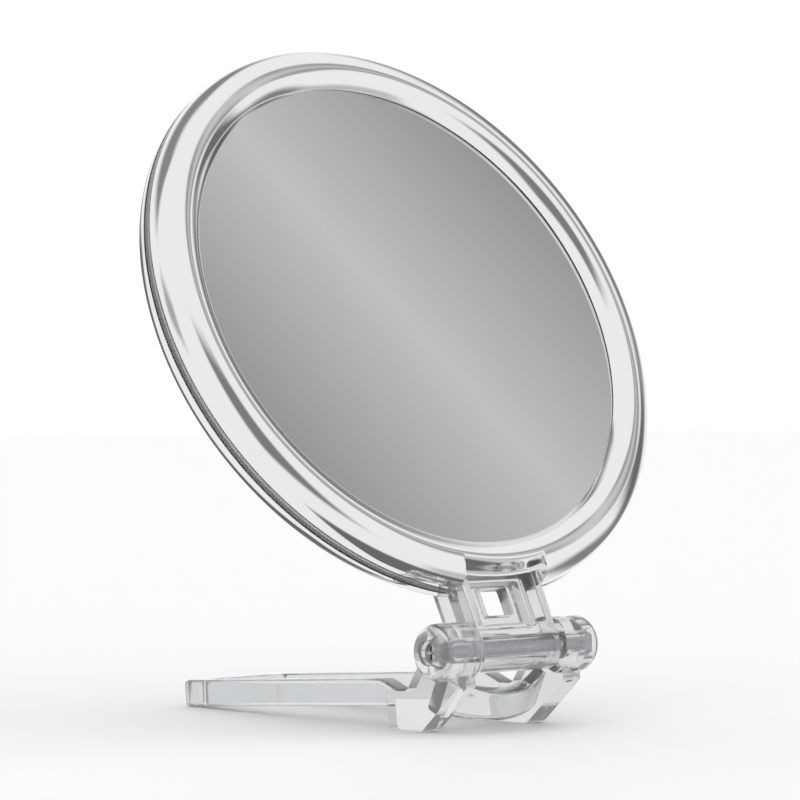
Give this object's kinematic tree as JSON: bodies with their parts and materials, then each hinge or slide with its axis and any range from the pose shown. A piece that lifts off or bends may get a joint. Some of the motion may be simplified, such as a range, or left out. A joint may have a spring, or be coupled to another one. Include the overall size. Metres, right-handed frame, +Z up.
{
  "type": "folding handle mirror",
  "caption": "Round two-sided mirror with a silver rim, on a clear folding handle that also serves as an easel stand.",
  "frame": {"origin": "centre of the bounding box on the table that the handle stands on", "axes": "+Z up, +Y to the back (the handle's grip loop points that way), +X to the right seen from the front; the head leans back and faces -Y"},
  "size_m": [0.15, 0.1148, 0.1676],
  "materials": {
    "clear_plastic": "polished clear injection moulding",
    "silver_bezel": "bright silver plating on plastic, mirror smooth",
    "mirror_glass": "silvered float glass, polished",
    "tape": "double-sided mounting tape, matt",
    "card": "plain grey card, matt",
    "zinc_steel": "zinc-plated steel",
    "nylon": "white nylon, satin"
  },
  "bodies": {
    "handle": {"folding_handle": "clear_plastic", "hinge_screw": "zinc_steel", "hinge_nut": "zinc_steel", "spring_washer": "zinc_steel", "left_friction_washer": "nylon", "right_friction_washer": "nylon"},
    "head": {"core_frame": "clear_plastic", "front_bezel": "silver_bezel", "rear_bezel": "silver_bezel", "plain_mirror_glass": "mirror_glass", "magnifying_mirror_glass": "mirror_glass", "front_tape_ring": "tape", "rear_tape_ring": "tape", "card_spacer": "card"}
  },
  "joints": [
    {"name": "head_fold", "type": "hinge", "parent": "handle", "child": "head", "pos_m": [0, -0.0505, 0.0196], "axis": [1, 0, 0], "range_deg": [-67, 112]}
  ]
}
